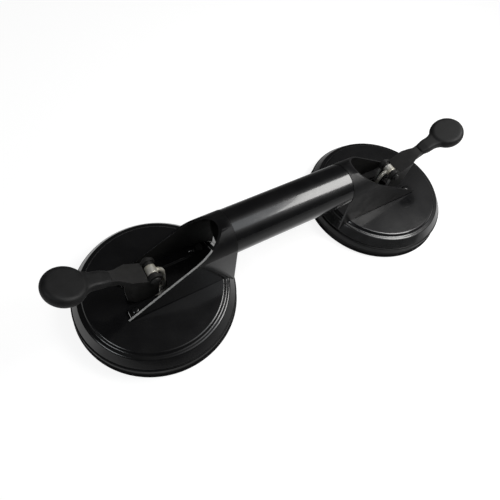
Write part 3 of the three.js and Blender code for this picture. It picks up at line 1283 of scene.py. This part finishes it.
@dataclass
class Rivet:
    """Domed rivet through a foot and the plate."""

    shank: float = 1.9
    head: float = 2.9
    head_height: float = 1.6
    head_base: float = 22.5
    tail: float = 2.8
    tail_height: float = 1.2
    tail_top: float = 18.4

    def build(self) -> Object:
        """Models one rivet about Z.

        Returns:
            The rivet, at the height where it sits.
        """
        top = self.head_base + self.head_height
        rings = [
            Ring(self.tail * 0.8, self.tail_top - self.tail_height, 0.3),
            Ring(self.tail, self.tail_top, 0.15),
            Ring(self.shank, self.tail_top),
            Ring(self.shank, self.head_base),
            Ring(self.head, self.head_base, 0.15),
            Ring(self.head * 0.93, self.head_base + self.head_height * 0.45, 0.4),
            Ring(self.head * 0.55, top - 0.12, 0.5),
            Ring(self.head * 0.2, top),
        ]
        piece = turned("rivet", rings, 28, solid=True, segments=3)
        shade(piece, 45)
        return piece


@dataclass
class Tube:
    """Handle tube with its ends necked to fit in the saddles."""

    radius: float = 15.9
    wall: float = 2.0
    neck: float = 14.5
    shoulder: float = 48.9
    neck_run: float = 1.6
    axis: float = 51.3
    half: float = 54.5
    lap: float = 0.2
    sides: int = 128

    def build(self) -> Object:
        """Models the tube along X.

        Returns:
            The tube in its place.
        """
        start, bore, slim = self.shoulder, self.radius - self.wall, self.neck - self.wall
        rings = [
            Ring(slim, -self.half, 0.3),
            Ring(self.neck, -self.half, 0.4),
            Ring(self.neck, -start),
            Ring(self.radius, -start, 0.12),
            Ring(self.radius, start, 0.12),
            Ring(self.neck, start),
            Ring(self.neck, self.half, 0.4),
            Ring(slim, self.half, 0.3),
            Ring(slim, start),
            Ring(bore, start - self.neck_run, 0.6),
            Ring(bore, self.neck_run - start, 0.6),
            Ring(slim, -start),
            Ring(slim, -self.half),
        ]
        piece = turned("tube", rings, self.sides)
        lay(piece, (0, 90, 0), (0, 0, self.axis))
        shade(piece, 40)
        return piece

    def within(self, face: Face) -> bool:
        """Whether a face is inside the tube or on a neck, in the saddle."""
        return looks_in(face, self.axis) or abs(middle(face).x) > self.shoulder + self.lap

    def coats(self, finishes: Finishes) -> Coats:
        """Gloss enamel, dull where the saddles cover it."""
        return finishes.tube_enamel, (finishes.inner, self.within)


@dataclass
class Hook:
    """Pull hook: eye round the stud, rod bent like a C and a cross barrel for the pivot pin."""

    rod: float = 1.6
    rod_start: float = -1.0
    reach: float = 6.5
    eye: float = 3.2
    eye_base: float = 11.8
    eye_thickness: float = 2.2
    stud_bore: float = 1.8
    pivot: Point = (1.2, 0.0, 42.0)
    barrel: float = 3.7
    barrel_length: float = 6.4
    pin_bore: float = 2.3
    foot_bend: float = 3.4
    voxel: float = 0.28

    def quarter_turn(self, x: float, z: float) -> None:
        """Spins the rod's end a quarter round a point of the middle plane."""
        bpy.ops.mesh.spin(
            angle=math.pi / 2,
            center=(x * MM, 0, z * MM),
            axis=(0, -1, 0),
            steps=12,
            use_normal_flip=False,
        )

    def bent_rod(self) -> Object:
        """Models the rod, run by run and bend by bend.

        Returns:
            The rod, from the eye up to the barrel.
        """
        x, _, z = self.pivot
        low = self.eye_base + self.rod
        start = self.foot_bend - self.reach
        top_bend = x + self.reach
        piece = circle("hook", 32, self.rod, (self.rod_start, 0, low), True, True)
        with editing(piece):
            pick_all()
            extrude(start - self.rod_start, 0, 0)
            self.quarter_turn(start, low + self.foot_bend)
            extrude(0, 0, z - top_bend - low - self.foot_bend)
            self.quarter_turn(x, z - top_bend)
            merge_doubles()
            bpy.ops.mesh.normals_make_consistent(inside=False)
        return piece

    def build(self) -> Object:
        """Models the hook, with its joins run together as in a casting.

        Returns:
            The hook in the modelling station.
        """
        piece = self.bent_rod()
        x, _, z = self.pivot
        half, base = self.barrel_length / 2, self.eye_base
        eye = bar("eye", self.eye, (0, 0, base), (0, 0, base + self.eye_thickness), 40)
        combine(piece, eye, Act.ADD)
        combine(piece, bar("barrel", self.barrel, (x, -half, z), (x, half, z), 40), Act.ADD)
        drill(piece, self.pin_bore, (x, -half - 2, z), (x, half + 2, z))
        drill(piece, self.stud_bore, (0, 0, base - 2), (0, 0, base + 5))
        run_together(piece, self.voxel, 5)
        shade(piece, 60, weighted=False)
        return piece


@dataclass
class Lever:
    """Folded lever with its cam cheeks, from the CAD solid, with the bends of pressed steel."""

    bend: float = 0.6
    # The highlight painted on the cams' rims covers faces below this height.
    rim_below: float = 36.0

    def build(self) -> Object:
        """Models the lever from the far node.

        Returns:
            The lever in the modelling station.
        """
        piece = node_copy("far_lever", "lever")
        piece.data.transform(Matrix.Translation((-Cup.FAR.along * MM, 0, 0)))
        soften_edges(piece, self.bend, 28)
        shade(piece)
        return piece

    def on_cam_rim(self, face: Face) -> bool:
        """Whether a face is on the rim of a cam cheek."""
        steep = abs(face.normal.y) < 0.8 and face.normal.z < 0.3
        return steep and middle(face).z < self.rim_below

    def coats(self, finishes: Finishes) -> Coats:
        """Satin coat, with a pale highlight painted on the cams' rims."""
        return finishes.coat, (finishes.edge, self.on_cam_rim)


@dataclass
class Grip:
    """Dipped round paddle whose neck runs into it in smooth curves.

    The flare is how far the neck runs on and by what share it then widens, step by step.
    """

    radius: float = 13.2
    thickness: float = 8.8
    tilt: float = 20.5
    centre: Pair = (52.8, 62.8)
    sleeve: float = 27.0
    feather: float = 6.0
    half_width: float = 5.6
    depth: float = 6.8
    end_half_width: float = 4.6
    end_depth: float = 4.9
    flare: tuple[Pair, ...] = ((2.4, 1.1), (2.0, 1.16), (3.6, 1.26))
    neck_round: float = 2.1
    voxel: float = 0.45

    def build(self) -> Object:
        """Models the grip.

        Returns:
            The grip in the modelling station.
        """
        half, face = self.thickness / 2, self.radius * 0.86
        rings = [
            Ring(face, -half, 1.4),
            Ring(self.radius, -half * 0.42, 1.6),
            Ring(self.radius, half * 0.42, 1.6),
            Ring(face, half, 1.4),
        ]
        piece = turned("grip", rings, 72, solid=True)
        combine(piece, self.neck(), Act.ADD)
        run_together(piece, self.voxel, 14)
        x, z = self.centre
        lay(piece, (0, -self.tilt, 0), (x, 0, z))
        shade(piece, 60, weighted=False)
        return piece

    def neck(self) -> Object:
        """Models the sleeve over the lever's neck.

        Returns:
            The sleeve, thin at its end and wider where it meets the paddle.
        """
        wide, tall = self.half_width, self.depth / 2
        start = (self.feather - self.sleeve, -wide, -tall)
        piece = block("neck", start, (-self.radius * 1.2, wide, tall))
        with editing(piece):
            pick(piece, Element.FACE, lambda f: f.normal.x > 0.9)
            for run, spread in self.flare:
                extrude(run, 0, 0)
                widen(1, spread, 1)
            pick(piece, Element.FACE, lambda f: f.normal.x < -0.9)
            extrude(-self.feather, 0, 0)
            widen(1, self.end_half_width / wide, self.end_depth / self.depth)
            pick(piece, Element.EDGE, lambda e: run_of(e).x > 0.5)
            round_off(self.neck_round, 5)
        return piece


@dataclass
class PivotPin:
    """Headed pin across the lever and the hook's barrel, peened over a washer."""

    radius: float = 2.0
    head: float = 3.4
    head_height: float = 1.6
    tail: float = 2.7
    tail_height: float = 1.0
    seat: float = 7.8
    washer: float = 3.6
    washer_bore: float = 2.3
    washer_thickness: float = 0.8
    washer_gap: float = 0.3
    pivot: Point = (1.2, 0.0, 42.0)

    def across(self, piece: Object) -> Object:
        """Lays a turned piece across the lever at the pivot.

        Args:
            piece: the piece, turned about Z.

        Returns:
            The same piece.
        """
        lay(piece, (-90, 0, 0), self.pivot)
        shade(piece, 40)
        return piece

    def build_pin(self) -> Object:
        """Models the pin.

        Returns:
            The pin in the modelling station.
        """
        end = self.seat + self.washer_thickness + self.washer_gap
        rings = [
            Ring(self.tail * 0.75, -end - self.tail_height, 0.3),
            Ring(self.tail, -end - 0.25, 0.2),
            Ring(self.tail, -end, 0.1),
            Ring(self.radius, -end),
            Ring(self.radius, self.seat),
            Ring(self.head, self.seat, 0.1),
            Ring(self.head, self.seat + self.head_height * 0.5, 0.3),
            Ring(self.head * 0.7, self.seat + self.head_height, 0.5),
        ]
        return self.across(turned("pin", rings, 36, solid=True, segments=3))

    def build_washer(self) -> Object:
        """Models the washer.

        Returns:
            The washer in the modelling station.
        """
        low = -self.seat - self.washer_thickness
        rings = [
            Ring(self.washer_bore, low, 0.08),
            Ring(self.washer, low, 0.15),
            Ring(self.washer, -self.seat, 0.15),
            Ring(self.washer_bore, -self.seat, 0.08),
            Ring(self.washer_bore, low),
        ]
        return self.across(turned("washer", rings, 36, segments=2))


@dataclass
class StudNut:
    """Small hexagon nut on the insert's stud, with its corners turned off."""

    across: float = 5.5
    height: float = 2.4
    base: float = 14.3
    bore: float = 1.8
    face_inset: float = 0.35
    turned_off: float = 0.4
    edge_round: float = 0.08

    def build(self) -> Object:
        """Models the nut.

        Returns:
            The nut in the modelling station.
        """
        corner = self.across / math.sqrt(3)
        low, high = self.base, self.base + self.height
        face, free = corner - self.face_inset, corner + 0.3
        rings = [
            Ring(face, low),
            Ring(free, low + self.turned_off),
            Ring(free, high - self.turned_off),
            Ring(face, high),
        ]
        piece = turned("nut", [Ring(corner, low), Ring(corner, high)], 6, solid=True)
        combine(piece, turned("cone", rings, 48, solid=True), Act.SHARE)
        drill(piece, self.bore, (0, 0, low - 1), (0, 0, high + 1))
        soften_edges(piece, self.edge_round, 30, 2)
        shade(piece)
        return piece


@dataclass
class Lifter:
    """The whole lifter: handle tube and two stations."""

    finishes: Finishes = field(default_factory=Finishes)
    plate: Plate = field(default_factory=Plate)
    rubber: RubberCup = field(default_factory=RubberCup)
    saddle: Saddle = field(default_factory=Saddle)
    rivet: Rivet = field(default_factory=Rivet)
    tube: Tube = field(default_factory=Tube)
    hook: Hook = field(default_factory=Hook)
    lever: Lever = field(default_factory=Lever)
    grip: Grip = field(default_factory=Grip)
    pin: PivotPin = field(default_factory=PivotPin)
    nut: StudNut = field(default_factory=StudNut)

    def place_all(
        self, name: str, piece: Object, coats: Coats, body: str
    ) -> list[Object]:
        """Dresses a piece and copies it to both cups, in place of the CAD nodes of its name.

        Args:
            name: the nodes' name without the station.
            piece: the piece in the modelling station, which is removed.
            coats: its finishes.
            body: the body's name, without the station unless it is the base.

        Returns:
            The copies, the near one first.
        """
        paint(piece, *coats)
        twins = []
        for cup in Cup:
            place = cup.place(self.hook.pivot, body == "lever_set")
            twin = copy_to(piece, cup.node(f"dressed_{name}"), place)
            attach(twin, body if body == "base" else cup.node(body))
            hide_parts(cup.node(name))
            twins.append(twin)
        bpy.data.objects.remove(piece)
        log.info("%s at both cups", name)
        return twins

    def build_handle(self) -> None:
        """Models and dresses the handle tube."""
        tube = self.tube.build()
        paint(tube, *self.tube.coats(self.finishes))
        tube.name = "dressed_handle_tube"
        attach(tube, "base")
        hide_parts("handle_tube")
        log.info("handle tube")

    def build_cups(self) -> None:
        """Models and dresses the plates, rubber cups, saddles and rivets."""
        use, places = self.finishes, self.saddle.rivet_places()
        plate, rubber = self.plate.build(places), self.rubber.build(self.plate)
        near, _ = self.place_all("plate", plate, self.plate.coats(use), "base")
        # Only the far plate keeps the lighter flank enamel, which paints light there; the near
        # plate's flank gets plain enamel.
        exchange(near, use.flank, use.enamel)
        self.place_all("rubber_cup", rubber, (use.rubber,), "base")
        saddle = self.saddle.build(self.plate)
        _, far = self.place_all("saddle", saddle, self.saddle.coats(use), "base")
        # The far saddle takes the dull enamel all over, as painted shade, and loses its painted
        # highlight.
        for finish in (use.enamel, use.edge):
            exchange(far, finish, use.rubbed)
        rivet = self.rivet.build()
        for number, (x, y) in enumerate(places, 1):
            seated = copy_to(rivet, "seated_rivet", Matrix.Translation((x * MM, y * MM, 0)))
            self.place_all(f"saddle_rivet_{number}", seated, (use.enamel,), "base")
        bpy.data.objects.remove(rivet)

    def build_links(self) -> None:
        """Models and dresses the hooks, nuts, levers, grips, pins and washers."""
        use = self.finishes
        for name, build, coats, body, slot in (
            ("pull_hook", self.hook.build, (use.zinc,), "hook_set", "zinc"),
            ("stud_nut", self.nut.build, (use.zinc,), "hook_set", "zinc"),
            ("lever", self.lever.build, self.lever.coats(use), "lever_set", "lever_paint"),
            ("lever_grip", self.grip.build, (use.vinyl,), "lever_set", "grip_vinyl"),
            ("pivot_pin", self.pin.build_pin, (use.coat,), "lever_set", "zinc"),
            ("pin_washer", self.pin.build_washer, (use.coat,), "lever_set", "zinc"),
        ):
            self.place_all(name, build(), coats, body)

    def dress_kept(self) -> None:
        """Gives the insert discs, which are kept as they come, their finish."""
        for cup in Cup:
            node = frame["nodes"][cup.node("insert_disc")]
            for slot in node.material_slots:
                slot.material = self.finishes.steel
            log.info("%s kept", node.name)


# Studio


@dataclass(frozen=True)
class Camera:
    """The photograph's camera: angles in degrees, shift in shares of the frame, clip in metres."""

    azimuth: float = -41.0589
    elevation: float = 58.2078
    roll: float = 12.8287
    distance: float = 347.058
    sensor: float = 36.0
    lens: float = 30.80
    shift: Pair = (0.004826, -0.011114)
    target: Pair = (-19.945, 9.145)
    clip: Pair = (0.01, 20.0)

    def build(self) -> None:
        """Makes the scene's camera."""
        az, el, roll = (math.radians(a) for a in (self.azimuth, self.elevation, self.roll))
        back = Vector((math.sin(az) * math.cos(el), -math.cos(az) * math.cos(el), math.sin(el)))
        level = Vector((0, 0, 1)).cross(back).normalized()
        rise = back.cross(level)
        right = math.cos(roll) * level + math.sin(roll) * rise
        up = -math.sin(roll) * level + math.cos(roll) * rise
        data = bpy.data.cameras.new("camera")
        data.sensor_width, data.lens = self.sensor, self.lens
        data.shift_x, data.shift_y = self.shift
        data.clip_start, data.clip_end = self.clip
        camera = bpy.data.objects.new("camera", data)
        bpy.context.scene.collection.objects.link(camera)
        turn = Matrix((right, up, back)).transposed().to_4x4()
        place = (Vector((*self.target, 0)) + back * self.distance) * MM
        camera.matrix_world = Matrix.Translation(place) @ turn
        bpy.context.scene.camera = camera


@dataclass(frozen=True)
class Softbox:
    """A soft lamp aimed at the lifter: direction, distance and size in metres, power in watts."""

    name: str
    direction: Point
    distance: float
    size: Pair
    power: float
    colour: Point
    aim: Point = (0.05, 0.0, 0.06)

    def build(self) -> None:
        """Hangs the lamp with its long side across the handle."""
        out = Vector(self.direction).normalized()
        across = (Vector((0, 1, 0)) - out * out.y).normalized()
        data = bpy.data.lights.new(self.name, "AREA")
        data.shape = "RECTANGLE"
        data.size, data.size_y = self.size
        data.energy, data.color = self.power, self.colour
        lamp = bpy.data.objects.new(self.name, data)
        lamp.visible_camera = False
        bpy.context.scene.collection.objects.link(lamp)
        turn = Matrix((across.cross(out), across, out)).transposed().to_4x4()
        lamp.matrix_world = Matrix.Translation(Vector(self.aim) + out * self.distance) @ turn


@dataclass
class Studio:
    """White floor, soft surround and lamps, in metres.

    Gloss on the lifter shows the floor with painted light and shade in bands round a centre, and
    the surround with a painted glow by how near it is to the key's direction. The handle's shadow
    is painted on the floor as a soft ellipse that only the camera sees.
    """

    floor_radius: float = 3.0
    floor_colour: float = 0.35
    # The floor's colour as reflections see it: darker, as painted shade.
    reflected_floor_shade: float = 0.05
    floor_glow: float = 0.86
    # Painted light and shade that reflections see on the floor, in bands by the distance from this
    # centre.
    painted_reflection_centre: Point = (-0.15, -0.7, 0.0)
    painted_reflection_steps: tuple[Pair, ...] = (
        (0.3, 0.12), (0.45, 0.18), (0.57, 0.26), (0.61, 0.36), (0.66, 0.38), (0.7, 0.8),
        (0.75, 0.6), (0.86, 0.15), (0.95, 0.06),
    )
    # A painted shadow of the handle, which the lamps don't cast.
    painted_shadow_centre: Point = (-0.028, 0.022, 0.0)
    painted_shadow_stretch: Point = (0.25, 1.0, 1.0)
    painted_shadow_reach: Pair = (0.004, 0.017)
    painted_shadow_glow: float = 0.16
    surround: float = 0.1
    # A glow painted round the key's direction, which only reflections see.
    painted_glow_from: Point = (0.541, -0.272, 0.797)
    painted_glow_steps: tuple[Pair, ...] = (
        (0.0, 0.03), (0.55, 0.035), (0.76, 0.07), (0.85, 0.27), (0.94, 0.8), (1.0, 1.0)
    )
    lamps: tuple[Softbox, ...] = (
        Softbox("key", (0.541, -0.272, 0.797), 0.453, (0.18, 0.315), 1.6, (1.0, 0.99, 0.97)),
        Softbox("fill", (0.197, -0.334, 0.922), 0.49, (0.18, 0.36), 0.18, (0.88, 0.94, 1.0)),
        Softbox("window", (-0.8, -0.11, 0.57), 1.2, (0.3, 0.4), 1.6, (0.94, 0.97, 1.0)),
    )

    def floor_light(self, sheet: Sheet) -> Socket:
        """The floor's glow, white to the camera but for a painted shadow of the handle, with
        painted light and shade in gloss.

        Args:
            sheet: the floor's nodes.

        Returns:
            The glow's strength.
        """
        # Reflections see painted light and shade on the floor in bands.
        bands = sheet.bands(sheet.away(sheet.place, self.painted_reflection_centre), self.painted_reflection_steps)
        gloss = sheet.switch(Ray.GLOSSY, 0.0, bands)
        glass = sheet.switch(Ray.TRANSMISSION, gloss, self.floor_glow)
        # A soft ellipse under the handle, painted on the floor as its shadow for the camera.
        centre = [a * b for a, b in zip(self.painted_shadow_centre, self.painted_shadow_stretch)]
        away = sheet.away(sheet.stretched(self.painted_shadow_stretch), centre)
        lit = sheet.between(
            away,
            self.painted_shadow_glow,
            self.floor_glow,
            *self.painted_shadow_reach,
            interpolation_type="SMOOTHSTEP",
        )
        return sheet.switch(Ray.CAMERA, glass, lit)

    def build_floor(self) -> None:
        """Lays the floor."""
        floor = circle("floor", 96, self.floor_radius / MM, (0, 0, 0), filled=True)
        sheet = Sheet("paper_floor")
        # Reflections see the floor darker than the camera does: painted shade.
        paper = sheet.switch(Ray.GLOSSY, self.floor_colour, self.reflected_floor_shade)
        sheet.set(Base_Color=paper, Roughness=0.9, Specular_IOR_Level=0.0)
        sheet.set(Emission_Color=(1, 1, 1, 1), Emission_Strength=self.floor_light(sheet))
        paint(floor, sheet.material)

    def build_world(self) -> None:
        """Surrounds the lifter: white to the camera, dim in gloss but for a painted glow round the
        key.
        """
        world = bpy.data.worlds.new("studio")
        bpy.context.scene.world = world
        world.use_nodes = True
        nodes = Nodes(world.node_tree)
        inputs = {0: nodes.add("TexCoord", "Generated"), 1: Vector(self.painted_glow_from).normalized()}
        facing = nodes.add("VectorMath", "Value", inputs, operation="DOT_PRODUCT")
        gloss = nodes.switch(Ray.GLOSSY, self.surround, nodes.bands(facing, self.painted_glow_steps))
        glass = nodes.switch(Ray.TRANSMISSION, gloss, 1.0)
        white = nodes.switch(Ray.CAMERA, glass, 1.0)
        nodes.fill(nodes.tree.nodes["Background"], {"Color": white})

    def build(self) -> None:
        """Sets up the studio."""
        self.build_floor()
        self.build_world()
        for lamp in self.lamps:
            lamp.build()
        bpy.context.scene.view_settings.view_transform = "Standard"


def main() -> None:
    """Builds the lifter and its studio."""
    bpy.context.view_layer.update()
    lifter = Lifter()
    lifter.build_handle()
    lifter.build_cups()
    lifter.build_links()
    lifter.dress_kept()
    Camera().build()
    Studio().build()
    log.info("studio")


if __name__ == "__main__":
    main()
